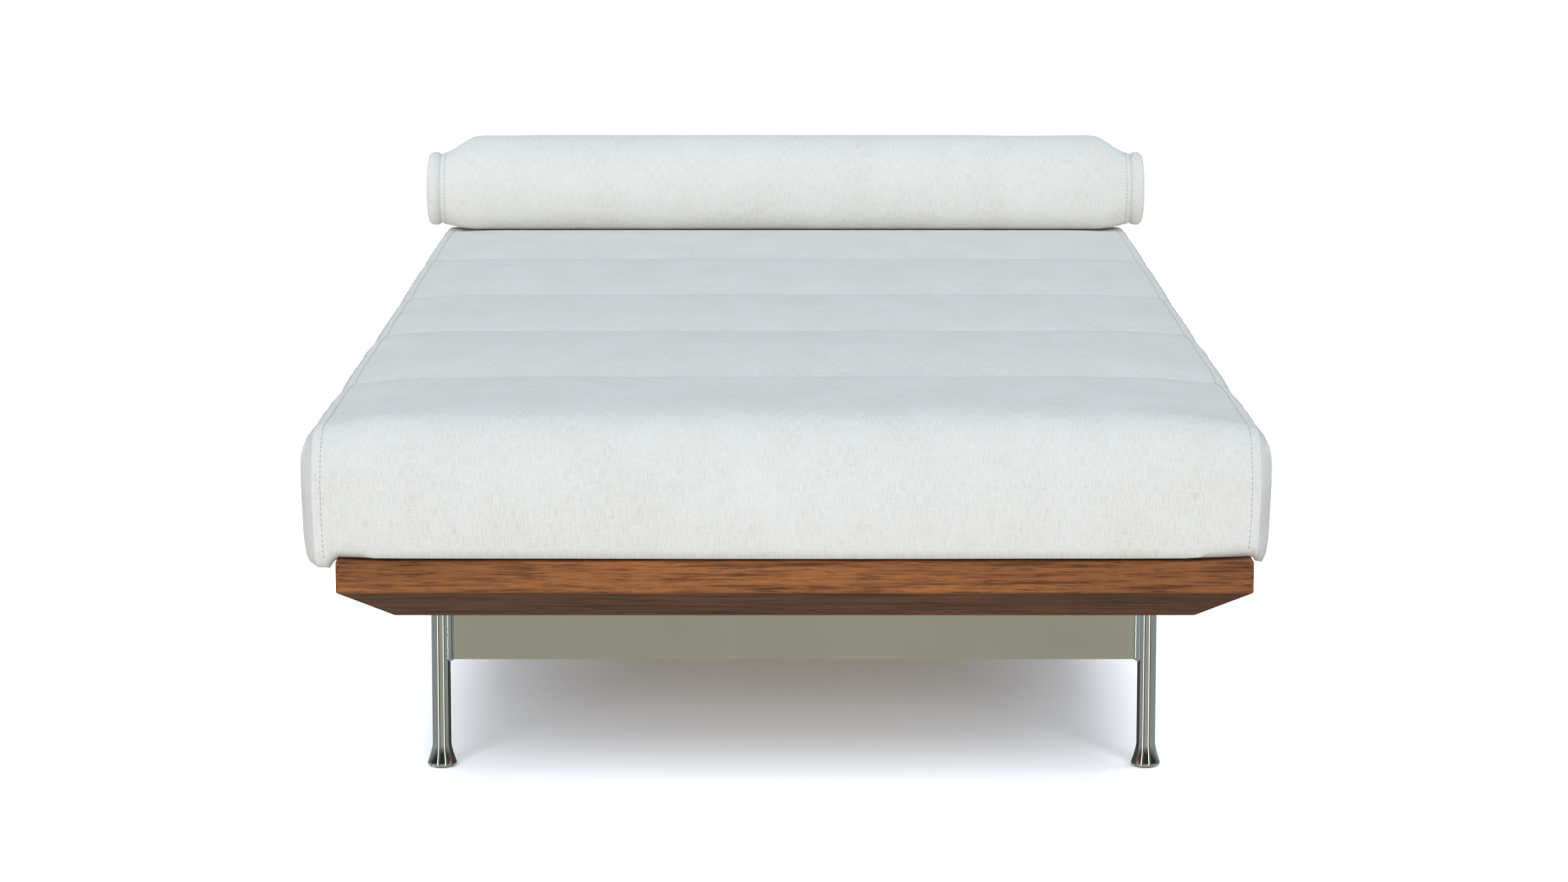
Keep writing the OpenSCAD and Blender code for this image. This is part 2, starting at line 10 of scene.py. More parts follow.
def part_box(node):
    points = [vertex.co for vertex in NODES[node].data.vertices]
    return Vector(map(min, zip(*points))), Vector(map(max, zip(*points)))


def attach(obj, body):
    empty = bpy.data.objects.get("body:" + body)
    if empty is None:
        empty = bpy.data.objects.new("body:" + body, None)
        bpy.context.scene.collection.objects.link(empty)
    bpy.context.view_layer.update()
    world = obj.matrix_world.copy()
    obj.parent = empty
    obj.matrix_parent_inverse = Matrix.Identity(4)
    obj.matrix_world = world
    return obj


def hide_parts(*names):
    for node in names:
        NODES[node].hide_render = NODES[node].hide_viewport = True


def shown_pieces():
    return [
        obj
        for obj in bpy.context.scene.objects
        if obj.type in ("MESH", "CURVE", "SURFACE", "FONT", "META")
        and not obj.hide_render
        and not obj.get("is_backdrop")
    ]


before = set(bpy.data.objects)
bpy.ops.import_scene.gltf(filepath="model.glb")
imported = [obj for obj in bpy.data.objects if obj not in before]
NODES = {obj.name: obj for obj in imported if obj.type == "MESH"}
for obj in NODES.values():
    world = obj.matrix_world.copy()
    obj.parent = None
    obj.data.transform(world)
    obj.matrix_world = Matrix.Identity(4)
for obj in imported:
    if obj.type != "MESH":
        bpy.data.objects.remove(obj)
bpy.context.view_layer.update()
scene = bpy.context.scene

# ---------------------------------- sizes, in metres
MATTRESS_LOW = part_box("mattress_base_panel")[0]
MATTRESS_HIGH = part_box("mattress_top_panel")[1]
BOLSTER_LOW, BOLSTER_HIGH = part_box("bolster_cover")
CAP_LOW, CAP_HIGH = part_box("bolster_right_end_cap")
PLATFORM_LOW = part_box("foot_rail")[0]
PLATFORM_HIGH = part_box("head_rail")[1]

HALF_LENGTH = MATTRESS_HIGH.y
HALF_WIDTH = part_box("mattress_right_side_panel")[1].x
LEFTWARD = -0.0080           # the loose cushions lie a little to the left of the platform
SIDE_BULGE = 0.0130          # how far a side panel swells past its seams
SEAM_INSET = 0.0095          # the side seams lie inside the CAD's side faces
SEAM_X = HALF_WIDTH - SEAM_INSET
SEAM_DROP = 0.012            # the side seams lie below the middle of the top
SEAM_PULL = 0.010            # and the ends pull in towards them
SEAM_TUCK = 0.005            # the seams run inwards at the bottom
HEAD_RISE = 0.0095           # the side seams lie higher towards the head end
EDGE_REACH = 0.075           # width of the rounding beside a side seam
ROLL_R = 0.052               # the waterfall bend over both ends
FOOT_R = 0.010               # the tight bend at the bottom of both ends
CHANNELS = [0.375, 0.745, 1.075, 1.450]   # from the foot end to each channel seam
CHANNEL_DEPTH = 0.0105       # how deep a channel seam draws in the top
CHANNEL_REACH = 0.105        # and how far to each side of the seam
SEAM_GROOVE = 0.0016         # the crease along a side seam
GATHER = 0.0011              # height of the small gathers beside it
GATHER_REACH = 0.016         # and how far from it they fade
SAG = 0.0105                 # the overhanging bottom edges hang below the deck
FOOT_SWELL = 0.0070          # the foot end swells forward past the platform near its bottom
WRAP_INSET = 0.006           # from the cover to the fibre wrap
CORE_INSET = 0.016           # from the cover to the foam core

BOLSTER_FLAT = 0.0146        # how far its full circle would reach below the CAD's flat underside
BOLSTER_R = (BOLSTER_HIGH.z - BOLSTER_LOW.z + BOLSTER_FLAT) / 2
BOLSTER_Y = (BOLSTER_LOW.y + BOLSTER_HIGH.y) / 2
BOLSTER_Z = BOLSTER_HIGH.z - BOLSTER_R
BOLSTER_DENT = 0.0035        # how far it presses into the mattress
REST_GAP = 0.0004            # from the pressed mattress to its underside
REST_Z = MATTRESS_HIGH.z - BOLSTER_DENT + REST_GAP
BOLSTER_TURNS = 168          # points round the roll
CAP_SEAM_X = CAP_LOW.x
CAP_END_X = CAP_HIGH.x
CAP_R = 0.0478               # radius of an end cap
CAP_PINCH = 0.0452           # radius in the seam beside it
CAP_ROUND = 0.009            # rounding of its outer edge
CAP_DOME = 0.0022            # how far its flat end swells out
CAP_RINGS = (0.93, 0.84, 0.72, 0.58, 0.42, 0.26, 0.12)   # sizes of the rings on its flat end
CAP_LOWERED = 0.0042         # the caps hang a little below the roll's own axis
SHOULDER = 0.050             # the roll narrows over this length before a cap

SWELL = 0.005                # how far the cloth simulation may move the mattress's cover
PRESSURE = 4.0               # the filling's pressure in the simulation
FRAMES = 20                  # length of the simulation
STITCH = 0.0038              # length of a stitch
STITCH_GAP = 0.0012          # from one stitch to the next
THREAD_R = 0.00036
SEAM_TO_STITCHES = 0.0065    # from a side seam to its topstitching
CAP_TO_STITCHES = 0.0075     # from a cap's seam to its topstitching
WELD_LEG = 0.0042            # how far a weld's fillet reaches along the tube and the plate
WELD_SECTIONS = 7            # points round the fillet's section


# ---------------------------------- shader helpers
def material(name):
    """A new material and its principled shader."""
    made = bpy.data.materials.new(name)
    made.use_nodes = True
    return made, made.node_tree, made.node_tree.nodes["Principled BSDF"]


def add(tree, kind, inputs=None, **settings):
    """Adds a node: settings are its own properties, inputs are numbers, colours or sockets."""
    made = tree.nodes.new("ShaderNode" + kind)
    for key, value in settings.items():
        setattr(made, key, value)
    for key, value in (inputs or {}).items():
        if isinstance(value, bpy.types.NodeSocket):
            tree.links.new(value, made.inputs[key])
        else:
            made.inputs[key].default_value = value
    return made


def maths(tree, operation, a, b=0.0, c=0.0, clamp=False):
    return add(tree, "Math", {0: a, 1: b, 2: c}, operation=operation, use_clamp=clamp).outputs[0]


def spread(tree, value, low, high, to_low=0.0, to_high=1.0):
    """Maps a value from one range to another, held at both ends."""
    inputs = {0: value, 1: low, 2: high, 3: to_low, 4: to_high}
    return add(tree, "MapRange", inputs).outputs[0]


def mixed(tree, factor, a, b, blend="MIX"):
    """A colour between a and b."""
    inputs = {0: factor, 6: a, 7: b}
    return add(tree, "Mix", inputs, data_type="RGBA", blend_type=blend).outputs[2]


def stretched(tree, where, scale, detail=2.0, shift=(0, 0, 0)):
    """Noise whose grains are longer along some axes: scale is grains per metre on each axis."""
    mapping = add(tree, "Mapping", {"Vector": where, "Scale": scale, "Location": shift})
    inputs = {"Vector": mapping.outputs[0], "Scale": 1.0, "Detail": detail, "Roughness": 0.55}
    return add(tree, "TexNoise", inputs).outputs[0]


def bump(tree, height, distance, strength=1.0, normal=None):
    inputs = {"Height": height, "Distance": distance, "Strength": strength}
    if normal is not None:
        inputs["Normal"] = normal
    return add(tree, "Bump", inputs).outputs[0]


# ---------------------------------- materials
def linen(name, base, twill=0.0013, column=0.0075):
    """Herringbone linen: a fine folded twill, long slubs both ways, and a few dark flecks."""
    made, tree, shader = material(name)
    where = add(tree, "Attribute", attribute_name="weave").outputs["Vector"]
    axes = add(tree, "SeparateXYZ", {0: where}).outputs
    folded = maths(tree, "PINGPONG", axes[0], column)
    phase = maths(tree, "MULTIPLY", maths(tree, "ADD", axes[1], folded), 2 * math.pi / twill)
    ribs = maths(tree, "SINE", phase)
    yarn = stretched(tree, where, (900, 900, 900), 1)
    warp = stretched(tree, where, (1000, 85, 120), 3)
    weft = stretched(tree, where, (70, 950, 120), 3, (3, 7, 1))
    cloud = stretched(tree, where, (14, 9, 12), 3, (5, 2, 8))
    fleck = stretched(tree, where, (700, 170, 200), 1, (1, 9, 4))
    patch = spread(tree, stretched(tree, where, (60, 30, 40), 2, (8, 3, 2)), 0.35, 0.7)

    slub = tuple(c * k for c, k in zip(base, (0.84, 0.79, 0.71)))
    light = tuple(min(1.0, c * 1.05) for c in base)
    dark = tuple(c * k for c, k in zip(base, (0.60, 0.54, 0.46)))
    colour = (*base, 1)
    threads = [(warp, 0.46, 0.72, 0.85), (weft, 0.52, 0.76, 0.7), (yarn, 0.48, 0.75, 0.6)]
    for layer, start, stop, most in threads:
        colour = mixed(tree, spread(tree, layer, start, stop, 0, most), colour, (*slub, 1))
    colour = mixed(tree, spread(tree, cloud, 0.38, 0.72, 0, 0.5), colour, (*light, 1))
    ribbed = maths(tree, "MULTIPLY", spread(tree, ribs, -1, 1, 0.0, 0.10), patch)
    colour = mixed(tree, ribbed, colour, (*slub, 1))
    colour = mixed(tree, spread(tree, fleck, 0.735, 0.80, 0, 0.65), colour, (*dark, 1))
    tree.links.new(colour, shader.inputs["Base Color"])

    height = maths(tree, "MULTIPLY_ADD", ribs, 0.5, maths(tree, "MULTIPLY", yarn, 0.8))
    height = maths(tree, "ADD", height, maths(tree, "ADD", warp, weft))
    tree.links.new(bump(tree, height, 0.00022, 0.55), shader.inputs["Normal"])
    shader.inputs["Roughness"].default_value = 0.9
    shader.inputs["Specular IOR Level"].default_value = 0.2
    shader.inputs["Sheen Weight"].default_value = 0.12
    shader.inputs["Sheen Roughness"].default_value = 0.45
    return made


def timber(name, along, light, dark, pores=0.6, staves=0.0, painted_shade_below=None, gloss=0.38):
    """Wood with its grain along one axis, 0 for X or 1 for Y; below a given height it can be darkened
    with painted shade.
    """
    made, tree, shader = material(name)
    where = add(tree, "TexCoord").outputs["Object"]
    axes = add(tree, "SeparateXYZ", {0: where}).outputs

    def grain(length_scale, width_scale, detail, shift=(0, 0, 0)):
        scale = [width_scale, width_scale, width_scale]
        scale[along] = length_scale
        return stretched(tree, where, scale, detail, shift)

    figure = grain(2.2, 34, 4)
    streak = grain(9, 260, 3, (4, 1, 7))
    pore = grain(46, 1500, 3, (2, 8, 3))
    dash = grain(22, 480, 2, (6, 2, 9))
    flame = grain(5, 16, 5, (7, 3, 5))
    middle = tuple(a * 0.62 + b * 0.38 for a, b in zip(light, dark))
    pit = tuple(c * 0.45 for c in dark)
    colour = mixed(tree, spread(tree, figure, 0.30, 0.68), (*light, 1), (*middle, 1))
    layers = [(flame, 0.50, 0.74, 0.5, dark), (streak, 0.50, 0.70, 0.8, dark),
              (dash, 0.52, 0.70, 0.7, dark), (pore, 0.55, 0.66, pores, pit)]
    for layer, start, stop, most, ink in layers:
        colour = mixed(tree, spread(tree, layer, start, stop, 0, most), colour, (*ink, 1))
    if staves:
        index = maths(tree, "FLOOR", maths(tree, "MULTIPLY_ADD", axes[along], 1 / staves, 0.37))
        tone = add(tree, "TexWhiteNoise", {"W": index}, noise_dimensions="1D").outputs[0]
        shade = spread(tree, tone, 0, 1, 0.86, 1.08)
        grey = add(tree, "CombineColor", {0: shade, 1: shade, 2: shade}).outputs[0]
        colour = mixed(tree, 1.0, colour, grey, "MULTIPLY")
    # painted shade: below the level the wood is multiplied by a darker, bluer tint, as on the
    # downward-facing bevel
    if painted_shade_below is not None:
        level, shade_tint = painted_shade_below
        low = spread(tree, axes[2], level - 0.0012, level + 0.0004, 1, 0)
        colour = mixed(tree, low, colour, (*shade_tint, 1), "MULTIPLY")
    tree.links.new(colour, shader.inputs["Base Color"])
    rough = spread(tree, streak, 0.3, 0.8, gloss - 0.05, gloss + 0.12)
    tree.links.new(rough, shader.inputs["Roughness"])
    height = maths(tree, "SUBTRACT", maths(tree, "MULTIPLY", streak, 0.4), pore)
    tree.links.new(bump(tree, height, 0.00025, 0.4), shader.inputs["Normal"])
    shader.inputs["Specular IOR Level"].default_value = 0.35
    return made


def metal(name, colour, roughness, variation=0.03, scratch=0.05, brushed=None):
    """A metal with faint handling marks; brushed gives the grains per metre of a drawn finish."""
    made, tree, shader = material(name)
    where = add(tree, "TexCoord").outputs["Object"]
    marks = stretched(tree, where, brushed or (60, 60, 60), 4)
    cloud = stretched(tree, where, (9, 9, 9), 3, (2, 5, 1))
    rough = spread(tree, cloud, 0.3, 0.7, roughness, roughness + variation)
    tree.links.new(rough, shader.inputs["Roughness"])
    tone = tuple(c * 0.93 for c in colour)
    tree.links.new(mixed(tree, spread(tree, cloud, 0.35, 0.7), (*colour, 1), (*tone, 1)),
                   shader.inputs["Base Color"])
    tree.links.new(bump(tree, marks, 0.00008, scratch), shader.inputs["Normal"])
    shader.inputs["Metallic"].default_value = 1.0
    return made


def moulded(name, colour, roughness, grain=900, depth=0.00008):
    """Moulded plastic, felted fibre or foam: one colour, cloudy and grained."""
    made, tree, shader = material(name)
    where = add(tree, "TexCoord").outputs["Object"]
    cloud = stretched(tree, where, (25, 25, 25), 4)
    fine = stretched(tree, where, (grain, grain, grain), 3, (3, 1, 6))
    tone = tuple(c * 0.82 for c in colour)
    tree.links.new(mixed(tree, spread(tree, cloud, 0.35, 0.7), (*colour, 1), (*tone, 1)),
                   shader.inputs["Base Color"])
    tree.links.new(bump(tree, fine, depth, 0.5), shader.inputs["Normal"])
    shader.inputs["Roughness"].default_value = roughness
    return made


LINEN = (0.845, 0.84, 0.815)
WALNUT_LIGHT = (0.45, 0.158, 0.042)
WALNUT_DARK = (0.066, 0.021, 0.009)
BEVEL_DEPTH = 0.030          # painted shade: the rails are darker from this far below the deck, where their bevel faces down
# painted shade: the level and the darker, bluer tint of the downward-facing bevel
BEVEL_PAINTED_SHADE = (PLATFORM_HIGH.z - BEVEL_DEPTH, (0.45, 0.41, 0.49))
cover_cloth = linen("cover_linen", LINEN)
walnut_x = timber("walnut_across", 0, WALNUT_LIGHT, WALNUT_DARK, 0.75, 0.41, BEVEL_PAINTED_SHADE)
walnut_y = timber("walnut_along", 1, WALNUT_LIGHT, WALNUT_DARK, 0.75, 0.47, BEVEL_PAINTED_SHADE)
pine = timber("slat_pine", 0, (0.66, 0.47, 0.27), (0.45, 0.27, 0.12), 0.25, gloss=0.6)
beech = timber("dowel_beech", 1, (0.60, 0.42, 0.27), (0.42, 0.26, 0.14), 0.4, gloss=0.55)
chrome = metal("polished_steel", (0.86, 0.87, 0.85), 0.05, 0.02, 0.03)
zinc = metal("zinc_plating", (0.62, 0.64, 0.66), 0.28, 0.12, 0.25, (300, 300, 900))
brass = metal("insert_brass", (0.78, 0.57, 0.26), 0.30, 0.1, 0.2)
zip_metal = metal("zip_nickel", (0.60, 0.59, 0.56), 0.22, 0.1, 0.2, (800, 800, 800))
nylon = moulded("glide_nylon", (0.035, 0.035, 0.037), 0.45)
zip_tape = moulded("zip_tape", (0.70, 0.69, 0.65), 0.85, 2200, 0.0002)
foam = moulded("foam", (0.80, 0.76, 0.58), 0.95, 1500, 0.0006)
fibre = moulded("fibre", (0.88, 0.88, 0.87), 0.95, 500, 0.0012)
thread = moulded("thread", (0.56, 0.55, 0.51), 0.8, 3000, 0.0001)


def dress(names, finish):
    """Gives CAD nodes a finish in the slots that they have."""
    for name in names:
        mesh = NODES[name].data
        if not mesh.materials:
            mesh.materials.append(finish)
        for i in range(len(mesh.materials)):
            mesh.materials[i] = finish


def matching(*words):
    """The CAD nodes that have one of the words in their name."""
    return [name for name in NODES if any(word in name for word in words)]


dress(["foot_rail", "head_rail"], walnut_x)
dress(["left_side_rail", "right_side_rail"], walnut_y)
dress(matching("slat_", "_bearer", "corner_block"), pine)
dress(["bearer_dowels"], beech)
dress(matching("leg_tube", "apron_plate", "mounting_bar", "bell_foot"), chrome)
dress(matching("_screws", "leg_bolts", "leg_bolt_washers"), zinc)
dress(["leg_bolt_inserts"], brass)
dress(matching("_glide"), nylon)
dress(["mattress_zip", "bolster_zip"], zip_tape)
dress(["mattress_zip_slider", "bolster_zip_slider"], zip_metal)


# ---------------------------------- mesh helpers
def piece(name, points, faces, finish, body):
    """A smooth mesh piece that rides on a body."""
    mesh = bpy.data.meshes.new(name)
    mesh.from_pydata([tuple(p) for p in points], [], faces)
    mesh.validate()
    mesh.shade_smooth()
    mesh.materials.append(finish)
    made = bpy.data.objects.new(name, mesh)
    scene.collection.objects.link(made)
    if body:
        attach(made, body)
    return made


def weave_on(obj, coords):
    """Stores where each point lies on the flat cloth, in metres, for the weave."""
    layer = obj.data.attributes.new("weave", "FLOAT_VECTOR", "POINT")
    layer.data.foreach_set("vector", np.asarray(coords, np.float32).ravel())


def graded(start, stop, marks, fine, coarse, reach):
    """Positions from start to stop, closer together near the marks."""
    samples = 4000
    dense = np.linspace(start, stop, samples)
    gap = np.min([np.abs(dense - mark) for mark in marks], axis=0)
    step = fine + (coarse - fine) * np.clip(gap / reach, 0, 1)
    count = np.concatenate([[0], np.cumsum((dense[1] - dense[0]) / step[1:])])
    n = max(2, round(count[-1]))
    return np.interp(np.linspace(0, count[-1], n + 1), count, dense)


def wave(value, size, seed):
    """Smooth noise from -1 to 1 along one length."""
    return np.array([noise.noise(Vector((v / size, seed, seed * 1.7))) for v in np.ravel(value)])


def smooth(t):
    t = np.clip(t, 0, 1)
    return t * t * (3 - 2 * t)


def arc(cy, cz, r, a, b, n):
    """Points on an arc in the YZ plane, from angle a to angle b in degrees."""
    t = np.radians(np.linspace(a, b, n))
    return np.stack([cy + r * np.cos(t), cz + r * np.sin(t)], 1)


def lengths(path):
    """How far along a path each of its points lies."""
    return np.concatenate([[0], np.cumsum(np.linalg.norm(np.diff(path, axis=0), axis=1))])


def read_along(path, at, values):
    """Values that are given at a path's points, read at other lengths along it."""
    along = lengths(path)
    return np.stack([np.interp(at, along, column) for column in values.T], 1)


def tube_faces(rings, turns, start=0):
    """The faces between rings of points that each close round."""
    faces = []
    for j in range(rings - 1):
        for k in range(turns):
            a = start + j * turns + k
            b = start + j * turns + (k + 1) % turns
            faces.append((a, b, b + turns, a + turns))
    return faces


def tube_ends(rings, turns, start=0):
    """Such a tube's first and last ring as two faces that look the same way."""
    first = tuple(start + k for k in range(turns))
    last = tuple(start + (rings - 1) * turns + k for k in range(turns))
    return first, last


# ---------------------------------- the mattress's shape
FRONT_ROWS = 16              # rows from an end's bottom edge to the middle of its roll
FOOT_POINTS = 9              # points on the bend at the bottom
BEND_POINTS = 13             # points on half a roll


def end_profile(half, low, high, roll):
    """The foot end's outline, from the bottom edge up to the middle of the roll."""
    foot = arc(-half + FOOT_R, low + FOOT_R, FOOT_R, 270, 180, FOOT_POINTS)
    bend = arc(-half + roll, high - roll, roll, 180, 135, BEND_POINTS)
    line = np.concatenate([foot, bend])
    return read_along(line, np.linspace(0, lengths(line)[-1], FRONT_ROWS + 1), line)


def top_profile(half, high, roll, share):
    """The top's outline between the middles of the rolls; share runs from 0 to 1."""
    first = arc(-half + roll, high - roll, roll, 135, 90, BEND_POINTS)
    last = arc(half - roll, high - roll, roll, 90, 45, BEND_POINTS)
    line = np.concatenate([first, last])
    return read_along(line, share * lengths(line)[-1], line)


def ring(half, low, high, roll, share):
    """One closed outline of the mattress in the YZ plane: foot end, top, head end, underside."""
    foot = end_profile(half, low, high, roll)
    top = top_profile(half, high, roll, share)
    head = foot[::-1] * np.array([-1, 1])
    y = np.interp(top[::-1, 0], [top[0, 0], top[-1, 0]], [foot[0, 0], head[-1, 0]])
    under = np.stack([y, y * 0 + low], 1)
    return np.concatenate([foot[:-1], top[:-1], head[:-1], under[:-1]])


def mattress_grid(inset=0.0, fine=0.0035, coarse=0.013):
    """The rest shape as a grid: across (columns of x) by around (the closed outline)."""
    channel_reach, seam_reach = 0.05, 0.06      # the grid is finer this near to a seam
    marks = [channel - HALF_LENGTH for channel in CHANNELS]
    y = graded(-HALF_LENGTH, HALF_LENGTH, marks, fine, coarse, channel_reach)
    share = (y - y[0]) / (y[-1] - y[0])
    half = HALF_LENGTH - inset
    low = MATTRESS_LOW.z + inset
    high = MATTRESS_HIGH.z - inset
    roll = ROLL_R - inset * 0.5
    middle = ring(half, low, high, roll, share)
    edge = ring(half - SEAM_PULL, low, high - SEAM_DROP, roll, share)
    seam = SEAM_X - inset
    x = graded(-seam, seam, [-seam, seam], fine * 0.45, coarse, seam_reach)
    height = np.clip((edge[:, 1] - low) / (high - low), 0, 1)
    edge[:, 1] += HEAD_RISE * smooth((edge[:, 0] + 0.2) / 1.0) * height
    weight = np.clip((np.abs(x) - (seam - EDGE_REACH)) / EDGE_REACH, 0, 1) ** 2
    grid = middle[None] + weight[:, None, None] * (edge - middle)[None]
    columns = np.broadcast_to(x[:, None, None], (*grid.shape[:2], 1))
    points = np.concatenate([columns, grid], 2).copy()
    height = np.clip((points[..., 2] - low) / (high - low), 0, 1)
    points[..., 0] -= np.sign(points[..., 0]) * weight[:, None] * SEAM_TUCK * (1 - height) ** 3
    return points, share


def places(share):
    """Where each point of the closed outline lies along it: one unit for each of its four parts."""
    ends = np.arange(FRONT_ROWS) / FRONT_ROWS
    return np.concatenate([ends, 1 + share[:-1], 2 + ends, 3 + (1 - share[::-1])[:-1]])


def side_patch(border, top_count, bulge, outward):
    """The rows of a side panel inside its closed outline; the panel swells outward."""
    corner = 0.06            # share of the length over which the rounded ends lean the columns
    rim = 0.014              # share of the length over which the swelling starts
    n, m = FRONT_ROWS, top_count
    foot = border[: n + 1]
    top = border[n : n + m + 1]
    head = border[n + m : 2 * n + m + 1][::-1]
    under = np.concatenate([border[2 * n + m :], border[:1]])[::-1]
    up = np.linspace(0, 1, n + 1)[:, None, None]
    # how far along the panel each column lies, from the foot end to the head end
    go = ((under[:, 1] - under[0, 1]) / (under[-1, 1] - under[0, 1]))[None, :, None]
    flat = (1 - up) * under[None] + up * top[None]
    lean = foot[:, None] - ((1 - up) * under[0] + up * top[0])
    lean_head = head[:, None] - ((1 - up) * under[-1] + up * top[-1])
    fade = np.clip(1 - go / corner, 0, 1) ** 2
    fade_head = np.clip(1 - (1 - go) / corner, 0, 1) ** 2
    patch = flat + fade * lean + fade_head * lean_head
    rise = 1 - np.where(up < 0.5, np.abs(2 * up - 1) ** 8, np.abs(2 * up - 1) ** 6)
    ends = np.clip(np.minimum(go, 1 - go) / rim, 0, 1)
    patch[..., 0:1] += outward * bulge * rise * (1 - (1 - ends) ** 3.5)
    return patch


def close_up(points, top_count, bulge):
    """Joins the grid round its outline and closes both sides; gives points, faces and patches."""
    columns, around = points.shape[:2]
    verts = list(points.reshape(-1, 3))
    faces = [(a, d, c, b) for a, b, c, d in tube_faces(columns, around)]
    n, m = FRONT_ROWS, top_count
    patches = []
    for column, outward in ((0, -1), (columns - 1, 1)):
        base = column * around
        patch = side_patch(points[column], m, bulge, outward)
        index = np.zeros((n + 1, m + 1), int)
        index[:, 0] = base + np.arange(n + 1)
        index[n, :] = base + n + np.arange(m + 1)
        index[:, m] = base + (2 * n + m - np.arange(n + 1))
        index[0, :] = base + (2 * n + 2 * m - np.arange(m + 1)) % around
        for k in range(1, n):
            for i in range(1, m):
                index[k, i] = len(verts)
                verts.append(patch[k, i])
        for k in range(n):
            for i in range(m):
                quad = (index[k, i], index[k + 1, i], index[k + 1, i + 1], index[k, i + 1])
                faces.append(tuple(int(q) for q in (quad if outward < 0 else quad[::-1])))
        patches.append(index)
    return np.array(verts), faces, patches


def on_top(points):
    """How fully a point lies on the top face, from 0 to 1."""
    depth, blend = 0.035, 0.02
    return smooth((points[..., 2] - (MATTRESS_HIGH.z - depth)) / blend)


def pillow(points):
    """Draws in the channel seams and dents the top under the bolster, in place."""
    x, y = points[..., 0], points[..., 1]
    wander = wave(x, 0.11, 3.1).reshape(x.shape) * 0.004
    wander += wave(x, 0.035, 5.7).reshape(x.shape) * 0.0015
    top = on_top(points)
    edge = np.clip((SEAM_X - np.abs(x)) / 0.05, 0, 1)
    for i, channel in enumerate(CHANNELS):
        gap = np.abs(y - (channel - HALF_LENGTH) - wander)
        tightness = 1.25 if i == 0 else 0.85
        strength = tightness * (0.35 + 0.65 * edge)
        dip = np.clip(1 - gap / CHANNEL_REACH, 0, 1) ** 2
        crease = np.exp(-(gap / 0.003) ** 2)
        points[..., 2] -= CHANNEL_DEPTH * strength * (dip * 0.85 + crease * 0.15) * top
    under_bolster = np.exp(-(((y - BOLSTER_Y) / 0.055) ** 4)) * np.clip(edge * 2, 0, 1)
    points[..., 2] -= BOLSTER_DENT * under_bolster * top


def pucker(distance, along, seed):
    """The height of the small gathers at a distance from a seam."""
    size = GATHER * np.exp(-distance / GATHER_REACH)
    folds = wave(along, 0.017, seed) + 0.6 * wave(along, 0.041, seed + 2)
    return size * folds.reshape(distance.shape)


def overhang_sag(points):
    """Swells the foot end, and hangs the bottom edges that pass the platform, in place."""
    x, y, z = points[..., 0], points[..., 1], points[..., 2]
    end = 0.012              # depth of the foot end that swells
    fullest, reach = 0.028, 0.055       # height of the swelling, and how far it reaches
    hang = 0.05              # the sag fades out this far up
    height = z - MATTRESS_LOW.z
    foot = np.clip((-HALF_LENGTH + end - y) / end, 0, 1)
    y -= FOOT_SWELL * foot * np.exp(-((height - fullest) / reach) ** 2)
    past = np.clip((np.abs(x + LEFTWARD) - PLATFORM_HIGH.x - 0.0015) / 0.006, 0, 1)
    past_foot = np.clip((PLATFORM_LOW.y - 0.0004 - y) / 0.0014, 0, 1)
    z -= SAG * np.maximum(past, 0.8 * past_foot) * np.clip(1 - height / hang, 0, 1)


# ---------------------------------- cloth simulation
def inflate(points, faces, held):
    """Swells a closed cover with Blender's cloth: held is 0 to 1 per point."""
    body = piece("cover_in_simulation", points, faces, cover_cloth, None)
    group = body.vertex_groups.new(name="held")
    for i in np.nonzero(held > 0)[0]:
        group.add([int(i)], float(held[i]), "REPLACE")
    cloth = body.modifiers.new("cloth", "CLOTH")
    setup = cloth.settings
    setup.quality = 5
    setup.mass = 0.4
    setup.tension_stiffness = 40
    setup.compression_stiffness = 40
    setup.shear_stiffness = 20
    setup.bending_stiffness = 2.0
    setup.use_pressure = True
    setup.uniform_pressure_force = PRESSURE
    setup.vertex_group_mass = "held"
    setup.effector_weights.gravity = 0
    cloth.point_cache.frame_start = 1
    cloth.point_cache.frame_end = FRAMES
    for frame_number in range(1, FRAMES + 1):
        scene.frame_set(frame_number)
    shaped = body.evaluated_get(bpy.context.evaluated_depsgraph_get()).to_mesh()
    after = np.empty(len(shaped.vertices) * 3)
    shaped.vertices.foreach_get("co", after)
    scene.frame_set(1)
    bpy.data.objects.remove(body)
    return after.reshape(-1, 3)


def softened(field, rounds):
    """Evens out a field over the grid; it closes round its second axis."""
    for _ in range(rounds):
        field = (np.roll(field, 1, 1) + 2 * field + np.roll(field, -1, 1)) / 4
        field[1:-1] = (field[:-2] + 2 * field[1:-1] + field[2:]) / 4
    return field


def carried(move, from_u, from_v, to_u, to_v, period):
    """Brings a coarse grid's moves over to a finer grid and evens them out."""
    half_way = np.empty((len(to_u), len(from_v), 3))
    for k in range(len(from_v)):
        for i in range(3):
            half_way[:, k, i] = np.interp(to_u, from_u, move[:, k, i])
    full = np.empty((len(to_u), len(to_v), 3))
    for j in range(len(to_u)):
        for i in range(3):
            full[j, :, i] = np.interp(to_v, from_v, half_way[j, :, i], period=period)
    return softened(full, rounds=5)


